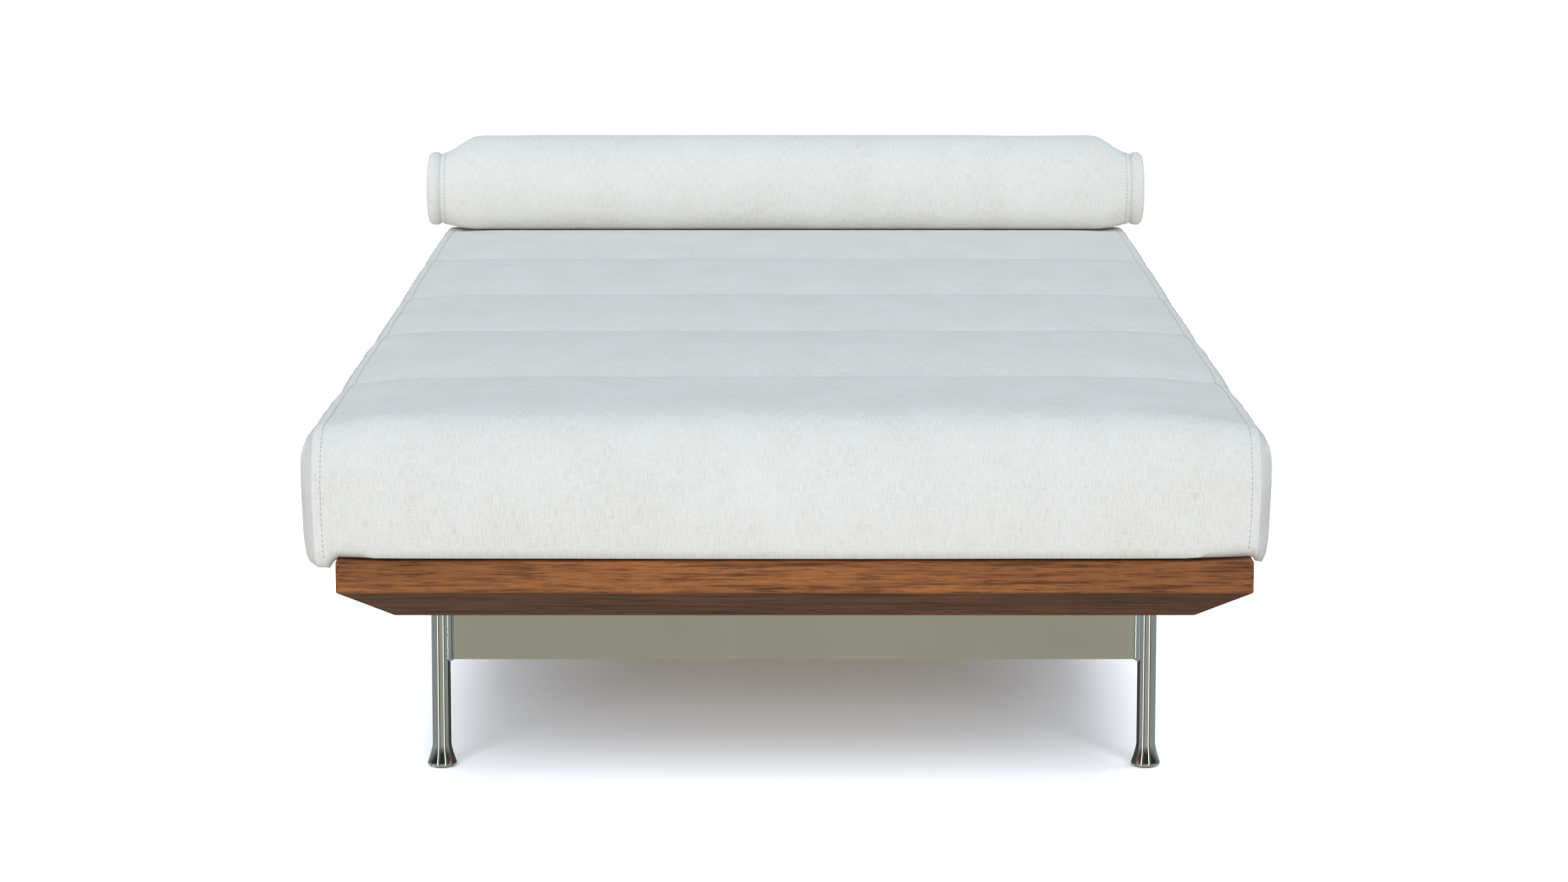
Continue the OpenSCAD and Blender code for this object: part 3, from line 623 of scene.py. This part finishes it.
def settled(points, share):
    """How the stuffed cover moves under pressure, as a move for each point of the fine grid."""
    fine, wide = 0.011, 0.021
    outline_parts = 4
    coarse, coarse_share = mattress_grid(0.0, fine, wide)
    pillow(coarse)
    verts, faces, _ = close_up(coarse, len(coarse_share) - 1, SIDE_BULGE)
    columns, around = coarse.shape[:2]
    # the cover is held at its seams, underside and zip, and under the bolster
    held = np.zeros((columns, around))
    held[[0, -1]] = 1
    held[coarse[..., 2] < MATTRESS_LOW.z + 0.006] = 1
    held[zip_band(coarse) > 0.05] = 1
    held[np.abs(coarse[..., 1] - BOLSTER_Y) < 0.05] = 1
    top = slice(FRONT_ROWS, FRONT_ROWS + len(coarse_share) - 1)
    for channel in CHANNELS:
        gap = np.abs(coarse[:, top, 1] - (channel - HALF_LENGTH))
        held[np.arange(columns), np.argmin(gap, axis=1) + FRONT_ROWS] = 1
    weights = np.zeros(len(verts))
    weights[: columns * around] = held.ravel()
    after = inflate(verts, faces, weights)
    move = (after - verts)[: columns * around].reshape(coarse.shape)
    size = np.linalg.norm(move, axis=2, keepdims=True)
    move = move * np.tanh(size / SWELL) * SWELL / np.maximum(size, 1e-9)
    return carried(move, coarse[:, 0, 0], places(coarse_share), points[:, 0, 0], places(share),
                   outline_parts)


# ---------------------------------- stitching
def stitches(path, ups, name, body):
    """A row of short thread stitches along a path, lying on the cloth whose normals are ups."""
    sides = 6
    pitch = STITCH + STITCH_GAP
    at = np.arange(pitch / 2, lengths(path)[-1], pitch)
    mids = read_along(path, at, path)
    normals = read_along(path, at, ups)
    ahead = np.gradient(mids, axis=0)
    # a stitch's five rings, each with its place, size and lift: both ends dip into the cloth
    rings = [(-0.5, 0.35, -0.7), (-0.36, 0.9, 0.1), (0.0, 1.0, 0.5), (0.36, 0.9, 0.1), (0.5, 0.35, -0.7)]
    verts, faces = [], []
    for mid, up, go in zip(mids, normals, ahead):
        go = go / np.linalg.norm(go)
        up = up - go * (up @ go)
        up = up / np.linalg.norm(up)
        across = np.cross(go, up)
        base = len(verts)
        for place, size, lift in rings:
            centre = mid + go * place * STITCH + up * lift * THREAD_R
            for k in range(sides):
                turn = 2 * math.pi * k / sides
                spoke = across * math.cos(turn) * 1.25 + up * math.sin(turn)
                verts.append(centre + spoke * THREAD_R * size)
        faces += [(a, d, c, b) for a, b, c, d in tube_faces(len(rings), sides, base)]
        first, last = tube_ends(len(rings), sides, base)
        faces += [first, last[::-1]]
    piece(name, verts, faces, thread, body)


# ---------------------------------- the mattress
def grid_normals(points):
    """Outward normals of a grid that closes round its second axis."""
    across = np.gradient(points, axis=0)
    around = np.roll(points, -1, axis=1) - np.roll(points, 1, axis=1)
    normal = np.cross(across, around)
    return normal / np.maximum(np.linalg.norm(normal, axis=2, keepdims=True), 1e-12)


def zip_band(points):
    """Near 1 where the zip lies on the head end, which stays flat there."""
    low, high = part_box("mattress_zip")
    near = smooth(1 - np.abs(points[..., 2] - (low.z + high.z) / 2) / 0.03 * 0.8)
    return near * (points[..., 1] > HALF_LENGTH - 0.02)


def gathered(points, along):
    """Adds the gathers and the crease beside the side seams, and soft folds on the foot end."""
    plain, blend = 0.004, 0.012         # the bottom edge stays plain, and the folds start above it
    crease = 0.0022
    front_depth = 0.03
    distance = SEAM_X - np.abs(points[..., 0])
    above_edge = smooth((points[..., 2] - MATTRESS_LOW.z - plain) / blend)
    gather = pucker(distance, along, 2.3) * above_edge * (1 - zip_band(points))
    gather -= SEAM_GROOVE * np.exp(-(distance / crease) ** 2)
    points += grid_normals(points) * gather[..., None]
    front = points[..., 1] < -HALF_LENGTH + front_depth
    folds = 0.0008 * wave(points[..., 0] + points[..., 2] * 0.6, 0.09, 8.8).reshape(front.shape)
    points[..., 1] += folds * front * above_edge


def make_mattress():
    """The cover as one piece; gives its final grid, and how many steps the top has."""
    points, share = mattress_grid()
    top_count = len(share) - 1
    pillow(points)
    points += settled(points, share)
    columns, around = points.shape[:2]
    along = np.broadcast_to(lengths(points[columns // 2])[None], (columns, around))
    gathered(points, along)
    verts, faces, patches = close_up(points, top_count, SIDE_BULGE)
    overhang_sag(verts)
    verts[:, 0] += LEFTWARD
    grid_count = columns * around
    weave = np.zeros_like(verts)
    weave[:grid_count, 0] = points[..., 0].ravel()
    weave[:grid_count, 1] = along.ravel()
    for index in patches:
        inner = np.unique(index[1:-1, 1:-1])
        weave[inner, 0] = verts[inner, 2]
        weave[inner, 1] = verts[inner, 1]
    cover = piece("mattress_cover", verts, faces, cover_cloth, "mattress")
    weave_on(cover, weave)
    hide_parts("mattress_top_panel", "mattress_base_panel",
                "mattress_left_side_panel", "mattress_right_side_panel")
    return verts[:grid_count].reshape(points.shape), top_count


def column_at(grid, inset, left):
    """The outline at a distance in from one side seam, and its normals."""
    normals = grid_normals(grid)
    seam = grid[0 if left else -1, :, 0].mean()
    target = seam + (inset if left else -inset)
    middle = grid[:, grid.shape[1] // 4, 0]
    place = np.interp(target, middle, np.arange(len(middle)))
    j, t = int(place), place - int(place)
    return (1 - t) * grid[j] + t * grid[j + 1], (1 - t) * normals[j] + t * normals[j + 1]


def sew_mattress(grid, top_count):
    """Topstitching beside both side seams, and the stitches in the channel seams."""
    near_channel = 0.02      # a channel's lowest points are looked for this near to its line
    clear_of_seam = 0.004    # its stitches stop this far before the side seams
    n, m = FRONT_ROWS, top_count
    shown = slice(2, 2 * n + m - 2)
    for side, left in (("left", True), ("right", False)):
        path, ups = column_at(grid, SEAM_TO_STITCHES, left)
        stitches(path[shown], ups[shown], f"mattress_{side}_topstitching", "mattress")
    top = grid[:, n : n + m]
    for i, channel in enumerate(CHANNELS):
        gap = np.abs(top[..., 1] - (channel - HALF_LENGTH))
        lowest = np.argmin(np.where(gap > near_channel, np.inf, top[..., 2]), axis=1)
        path = top[np.arange(len(lowest)), lowest]
        inside = np.abs(path[:, 0] - LEFTWARD) < SEAM_X - clear_of_seam
        ups = np.zeros_like(path) + np.array([0, 0, 1.0])
        stitches(path[inside], ups[inside], f"mattress_channel_stitching_{i + 1}", "mattress")


def inner_pad(name, inset, finish, node):
    """The filling under the cover, with the cover's own shape, smaller all round."""
    points, share = mattress_grid(inset, 0.012, 0.03)
    pillow(points)
    verts, faces, _ = close_up(points, len(share) - 1, SIDE_BULGE * 0.5)
    verts[:, 0] += LEFTWARD
    pad = piece(name, verts, faces, finish, "mattress")
    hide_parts(node)


# ---------------------------------- the bolster
def bolster_radius(x):
    """The bolster's radius at a distance from its middle."""
    sunk = 0.001             # the roll meets a cap a little inside the cap's radius
    before_seam = 0.003      # and reaches it this far before the seam
    full = smooth((CAP_SEAM_X - before_seam - x) / SHOULDER) ** 0.8
    body = CAP_R - sunk + (BOLSTER_R - CAP_R + sunk) * full
    pinch = (CAP_R - CAP_PINCH) * np.exp(-np.abs(x - CAP_SEAM_X) / 0.0016)
    cap = CAP_R + 0.0006 * np.sin((x - CAP_SEAM_X) / (CAP_END_X - CAP_SEAM_X) * math.pi)
    past = np.clip((x - (CAP_END_X - CAP_ROUND)) / CAP_ROUND, 0, 1)
    cap = cap - CAP_ROUND * (1 - np.sqrt(np.maximum(0, 1 - past ** 2)))
    return np.where(x > CAP_SEAM_X, cap, body) - pinch


def zip_turn():
    """The angle of the bolster's zip round the roll's axis."""
    low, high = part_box("bolster_zip")
    return math.atan2((low.z + high.z) / 2 - BOLSTER_Z, (low.y + high.y) / 2 - BOLSTER_Y)


def creased(xs, angles, rs):
    """The radii with gathers beside the cap seams and soft swells, and plain along the zip."""
    on_roll = rs > CAP_R + 0.004
    near = np.exp(-np.abs(np.abs(xs) - CAP_SEAM_X) / 0.014)
    folds = wave(angles, 0.28, 4.4) + 0.5 * wave(angles + 9, 0.13, 1.9)
    gather = folds.reshape(xs.shape) * near * 0.0009
    side = np.where(xs > 0, 1.0, -1.0)
    swell = wave(xs + 0.12 * angles, 0.16, 6.6).reshape(xs.shape) * 0.0009
    swell += wave(xs * side + 3 * side, 0.07, 2.6).reshape(xs.shape) * 0.0004
    from_zip = np.abs((angles - zip_turn() + math.pi) % (2 * math.pi) - math.pi)
    keep = smooth((from_zip - 0.12) / 0.2) * (np.abs(xs) < CAP_SEAM_X - 0.002)
    return rs + (gather + (swell - 0.0006) * on_roll) * np.where(np.abs(xs) < CAP_SEAM_X, keep, 1)


def bolster_grid(turn):
    """The roll and its caps as a grid, flattened where they rest on the mattress."""
    half = graded(0, CAP_END_X, [CAP_SEAM_X, CAP_END_X], 0.0012, 0.010, 0.06)
    x = np.concatenate([-half[:0:-1], half])
    xs, angles = np.meshgrid(x, turn, indexing="ij")
    rs = creased(xs, angles, np.repeat(bolster_radius(np.abs(x))[:, None], len(turn), 1))
    lowered = CAP_LOWERED * smooth((np.abs(xs) - (CAP_SEAM_X - SHOULDER)) / SHOULDER)
    y = BOLSTER_Y + rs * np.cos(angles)
    z = BOLSTER_Z - lowered + rs * np.sin(angles)
    # the weight of the roll flattens it softly against the mattress
    soft = 0.006
    depth = z - REST_Z
    z = REST_Z + np.where(depth > soft, depth, soft * np.exp(np.minimum(0, depth - soft) / soft))
    flatness = smooth(1 - np.abs(z - REST_Z - 0.012) / 0.03)
    y = y + np.sign(y - BOLSTER_Y) * flatness * 0.002 * (rs > CAP_R + 0.002)
    return np.stack([xs, y, z], 2)


def cap_end(rim, outward):
    """The rings that close a flat end, a little swollen, from its rim inwards."""
    centre = np.array([rim[0, 0], BOLSTER_Y, BOLSTER_Z - CAP_LOWERED])
    rings = []
    for share in CAP_RINGS:
        points = centre + (rim - centre) * share
        points[:, 0] = rim[0, 0] + outward * CAP_DOME * (1 - share ** 2)
        rings.append(points)
    return rings


def roll_faces(rings, turns):
    """The faces of a roll that is closed at both ends, looking outwards."""
    first, last = tube_ends(rings, turns)
    return tube_faces(rings, turns) + [first[::-1], last]


def make_bolster():
    """The cover and its two end caps as one piece; gives the grid between the flat ends."""
    turn = np.linspace(0, 2 * math.pi, BOLSTER_TURNS, endpoint=False)
    grid = bolster_grid(turn)
    rows = np.concatenate([cap_end(grid[0], -1)[::-1], grid, cap_end(grid[-1], 1)])
    verts = rows.reshape(-1, 3).copy()
    verts[:, 0] += LEFTWARD
    faces = roll_faces(len(rows), BOLSTER_TURNS)
    cover = piece("bolster_cover_cloth", verts, faces, cover_cloth, "bolster")
    weave = np.zeros(rows.shape)
    weave[..., 0] = rows[..., 0]
    weave[..., 1] = turn * BOLSTER_R
    for flat_end in (slice(None, len(CAP_RINGS)), slice(-len(CAP_RINGS), None)):
        weave[flat_end, :, :2] = rows[flat_end, :, 1:]
    weave_on(cover, weave)
    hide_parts("bolster_cover", "bolster_left_end_cap", "bolster_right_end_cap")
    sew_caps(grid + np.array([LEFTWARD, 0, 0]))
    return grid


def sew_caps(grid):
    """Topstitching on the roll beside both caps, where it is clear of the mattress."""
    x = grid[:, 0, 0] - LEFTWARD
    for side, sign in (("left", -1), ("right", 1)):
        loop = grid[int(np.argmin(np.abs(x - sign * (CAP_SEAM_X - CAP_TO_STITCHES))))]
        path = np.concatenate([loop, loop[:1]])
        hub = np.array([path[:, 0].mean(), BOLSTER_Y, BOLSTER_Z - CAP_LOWERED])
        shown = path[:, 2] > REST_Z + 0.002
        stitches(path[shown], (path - hub)[shown], f"bolster_{side}_topstitching", "bolster")


def bolster_filling(grid):
    """The foam roll inside the bolster: the cover's grid, thinned out and made smaller."""
    rows = grid[4:-4:3, ::4]
    hub = np.array([0, BOLSTER_Y, BOLSTER_Z])
    inner = rows.copy()
    inner[..., 1:] = hub[1:] + (rows[..., 1:] - hub[1:]) * 0.93
    inner[..., 0] *= 0.985
    inner[..., 0] += LEFTWARD
    faces = roll_faces(*inner.shape[:2])
    pad = piece("bolster_filling", inner.reshape(-1, 3), faces, foam, "bolster")
    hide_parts("bolster_foam_core")


# ---------------------------------- welds
def weld(end, side):
    """The smooth fillets where an apron plate is welded along a leg tube."""
    plate_low, plate_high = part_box(f"{end}_apron_plate")
    tube_low, tube_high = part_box(f"{end}_{side}_leg_tube")
    sign = -1 if side == "left" else 1
    hub_x = (tube_low.x + tube_high.x) / 2
    hub_y = (tube_low.y + tube_high.y) / 2
    tube_r = (tube_high.x - tube_low.x) / 2
    half_plate = (plate_high.y - plate_low.y) / 2
    root_x = hub_x - sign * tube_r * math.cos(math.asin(half_plate / tube_r))
    sunk = 0.0004            # the fillet's hidden corner lies this deep in the metal
    low = plate_low.z + 0.0006
    high = plate_high.z - 0.0005
    heights = graded(low, high, [low, high], 0.0012, 0.006, 0.02)
    verts, faces = [], []
    for face in (-1, 1):
        base = len(verts)
        for z in heights:
            uneven = noise.noise(Vector((z / 0.01, face, sign)))
            ripple = 1 + 0.05 * math.sin(z / 0.0022) + 0.08 * uneven
            taper = math.sqrt(min(1, (z - low) / 0.003 + 0.15) * min(1, (high - z) / 0.003 + 0.15))
            size = WELD_LEG * ripple * taper
            turn = math.asin((half_plate + size * 0.9) / tube_r)
            tube_x = hub_x - sign * tube_r * math.cos(turn)
            tube_y = hub_y + face * tube_r * math.sin(turn)
            on_tube = Vector((tube_x, tube_y, z))
            on_plate = Vector((root_x - sign * size, hub_y + face * half_plate, z))
            root = Vector((root_x + sign * sunk, hub_y + face * (half_plate - sunk), z))
            for k in range(WELD_SECTIONS - 1):
                t = k / (WELD_SECTIONS - 2)
                pull = 4 * t * (1 - t) * 0.18
                verts.append(on_tube.lerp(on_plate, t).lerp(root, pull))
            verts.append(root)
        tube = tube_faces(len(heights), WELD_SECTIONS, base)
        bottom, top = tube_ends(len(heights), WELD_SECTIONS, base)
        tube += [bottom[::-1], top]
        faces += tube if face * sign > 0 else [corners[::-1] for corners in tube]
    piece(f"{end}_{side}_weld", verts, faces, chrome, "platform")


# ---------------------------------- the object
mattress, top_rows = make_mattress()
sew_mattress(mattress, top_rows)
inner_pad("mattress_filling_wrap", WRAP_INSET, fibre, "mattress_fibre_wrap")
inner_pad("mattress_filling_core", CORE_INSET, foam, "mattress_foam_core")
bolster_filling(make_bolster())
for end in ("front", "rear"):
    for side in ("left", "right"):
        weld(end, side)


# ---------------------------------- studio
WHITE = (1.0, 1.0, 1.0)
BACKDROP_R = 45.0            # the camera's white surroundings
FLOOR_R = 44.5
ROOM_R = 44.0                # the grey room that only reflections see
STRIP_AZIMUTHS = (-35, 26, 152, 214)
STRIP_DISTANCE = 6.0
STRIP_WIDTH = 0.62
FLAG_TURN = 12               # degrees from a strip's middle to its dark flag's
FLAG_DISTANCE = 6.2
FLAG_WIDTH = 1.2
CARD_LOW, CARD_HIGH = -9.0, 12.0


def glowing(name, colour, strength):
    """A material that is the same plain light from every side."""
    made = bpy.data.materials.new(name)
    made.use_nodes = True
    tree = made.node_tree
    tree.nodes.clear()
    light = add(tree, "Emission", {"Color": (*colour, 1), "Strength": strength})
    add(tree, "OutputMaterial", {"Surface": light.outputs[0]})
    return made


def seen_by(obj, camera=False, glossy=False):
    """Shows a studio piece to the camera or to reflections, and to nothing else."""
    obj.visible_camera = camera
    obj.visible_glossy = glossy
    obj.visible_diffuse = obj.visible_shadow = False
    obj.visible_transmission = obj.visible_volume_scatter = False


def dome(name, radius, finish):
    """A large sphere round the whole studio."""
    rings, turns = 24, 48
    verts = []
    for i in range(rings + 1):
        down = math.pi * i / rings
        for k in range(turns):
            turn = 2 * math.pi * k / turns
            verts.append((radius * math.sin(down) * math.cos(turn),
                          radius * math.sin(down) * math.sin(turn),
                          radius * math.cos(down)))
    made = piece(name, verts, tube_faces(rings + 1, turns), finish, None)
    made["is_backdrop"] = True
    return made


def card(name, azimuth, distance, width, finish):
    """A tall upright reflector: azimuth 0 is in front of the foot end, 90 is at its right."""
    a = math.radians(azimuth)
    mid = Vector((math.sin(a), -math.cos(a), 0)) * distance
    along = Vector((math.cos(a), math.sin(a), 0)) * width / 2
    low = Vector((0, 0, CARD_LOW))
    high = Vector((0, 0, CARD_HIGH))
    verts = [mid - along + low, mid + along + low, mid + along + high, mid - along + high]
    made = piece(name, verts, [(0, 1, 2, 3)], finish, None)
    made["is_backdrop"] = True
    seen_by(made, glossy=True)


def sun(name, lit, elevation, azimuth, softness, strength, colour=WHITE):
    """A broad soft light from one direction, which lights only one collection."""
    data = bpy.data.lights.new(name, "SUN")
    data.angle = math.radians(softness)
    data.energy = strength
    data.color = colour
    lamp = bpy.data.objects.new(name, data)
    scene.collection.objects.link(lamp)
    up, turn = math.radians(elevation), math.radians(azimuth)
    towards = Vector((math.sin(turn) * math.cos(up), -math.cos(turn) * math.cos(up), math.sin(up)))
    lamp.rotation_euler = towards.to_track_quat("Z", "Y").to_euler()
    lamp.light_linking.receiver_collection = lit
    lamp.visible_glossy = False


def surroundings():
    """A white backdrop for the camera, and a room for reflections with a dark ceiling."""
    backdrop = dome("studio_backdrop", BACKDROP_R, glowing("backdrop_white", WHITE, 1.1))
    seen_by(backdrop, camera=True)
    grey = glowing("room_grey", WHITE, 1.0)
    tree = grey.node_tree
    glow = tree.nodes["Emission"].inputs
    axes = add(tree, "SeparateXYZ", {0: add(tree, "TexCoord").outputs["Object"]}).outputs
    aside = spread(tree, maths(tree, "ABSOLUTE", axes[0]), 16.0, 34.0)
    tint = mixed(tree, aside, (0.325, 0.318, 0.253, 1), (0.24, 0.275, 0.265, 1))
    tree.links.new(tint, glow["Color"])
    ceiling = spread(tree, axes[2], 2.0, 14.0, 1.0, 0.10)
    tree.links.new(ceiling, glow["Strength"])
    seen_by(dome("studio_room", ROOM_R, grey), glossy=True)


def reflectors():
    """Bright strips and dark flags round the object, and a dark card between its legs that puts painted
    shade from under the bed into reflections.
    """
    strip = glowing("strip_light", (0.97, 1.0, 1.0), 1.9)
    flag = glowing("dark_flag", (0.10, 0.105, 0.09), 1.0)
    for azimuth in STRIP_AZIMUTHS:
        card(f"strip_{azimuth % 360}", azimuth, STRIP_DISTANCE, STRIP_WIDTH, strip)
        card(f"flag_{azimuth % 360}", azimuth + FLAG_TURN, FLAG_DISTANCE, FLAG_WIDTH, flag)
    # painted shade: a dark card seen only in reflections, standing for the shade under the bed
    corners = [(0, -0.6, -0.3), (0, 0.9, -0.3), (0, 0.9, 0.2), (0, -0.6, 0.2)]
    dark = glowing("inner_shade", (0.05, 0.055, 0.05), 1.0)
    shade = piece("inner_shade", corners, [(0, 1, 2, 3)], dark, None)
    shade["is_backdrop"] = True
    seen_by(shade, glossy=True)


def ground():
    """The round white floor: it takes shadows, but reflections and bounced light pass it."""
    finish = bpy.data.materials.new("studio_floor")
    finish.use_nodes = True
    shader = finish.node_tree.nodes["Principled BSDF"]
    shader.inputs["Base Color"].default_value = (0.815, 0.85, 0.905, 1)
    shader.inputs["Roughness"].default_value = 0.9
    shader.inputs["Specular IOR Level"].default_value = 0.0
    turns = 96
    verts = [(0, 0, 0)]
    for k in range(turns):
        turn = 2 * math.pi * k / turns
        verts.append((FLOOR_R * math.cos(turn), FLOOR_R * math.sin(turn), 0))
    faces = [(0, 1 + k, 1 + (k + 1) % turns) for k in range(turns)]
    floor = piece("studio_floor", verts, faces, finish, None)
    floor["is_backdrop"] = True
    floor.visible_glossy = floor.visible_diffuse = False
    return floor


def sky():
    """Soft light from all round: brighter towards the top, and even from below."""
    world = bpy.data.worlds.new("sky")
    scene.world = world
    world.use_nodes = True
    tree = world.node_tree
    upward = add(tree, "TexCoord").outputs["Generated"]
    height = add(tree, "SeparateXYZ", {0: upward}).outputs[2]
    light = tree.nodes["Background"]
    above = spread(tree, height, -0.02, 0.02)
    strength = spread(tree, height, 0, 1, 0.20, 0.91)
    tree.links.new(mixed(tree, above, (0.555, 0.57, 0.57, 1), (0.93, 1.06, 1.17, 1)),
                   light.inputs["Color"])
    lifted = maths(tree, "MAXIMUM", strength, maths(tree, "SUBTRACT", 1.0, above))
    tree.links.new(lifted, light.inputs["Strength"])


def lamps(floor):
    """Low broad lights on the object, and lights of their own for the floor."""
    on_object = bpy.data.collections.new("lit_object")
    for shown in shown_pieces():
        on_object.objects.link(shown)
    on_floor = bpy.data.collections.new("lit_floor")
    on_floor.objects.link(floor)
    warm = (1.0, 0.995, 0.985)
    sun("key_light", on_object, elevation=9, azimuth=-8, softness=24, strength=0.98, colour=warm)
    sun("left_light", on_object, elevation=3, azimuth=-72, softness=44, strength=0.82)
    sun("right_light", on_object, elevation=3, azimuth=72, softness=44, strength=0.82)
    sun("floor_front_light", on_floor, elevation=28, azimuth=0, softness=47, strength=8.2)
    sun("floor_left_light", on_floor, elevation=74, azimuth=-90, softness=24, strength=1.9)
    sun("floor_right_light", on_floor, elevation=74, azimuth=90, softness=24, strength=1.9)


def photographer():
    """A long lens at the foot end, looking slightly down."""
    sideways, distance, height = -0.010, 4.150, 1.009
    downward = 8.58
    data = bpy.data.cameras.new("camera")
    data.sensor_width = 36.0
    data.lens = 104.1
    data.clip_start, data.clip_end = 0.05, 120.0
    made = bpy.data.objects.new("camera", data)
    scene.collection.objects.link(made)
    made.location = (sideways, PLATFORM_LOW.y - distance, height)
    made.rotation_euler = (math.radians(90 - downward), 0, 0)
    scene.camera = made


surroundings()
reflectors()
studio_floor = ground()
sky()
lamps(studio_floor)
photographer()
scene.view_settings.view_transform = "Standard"
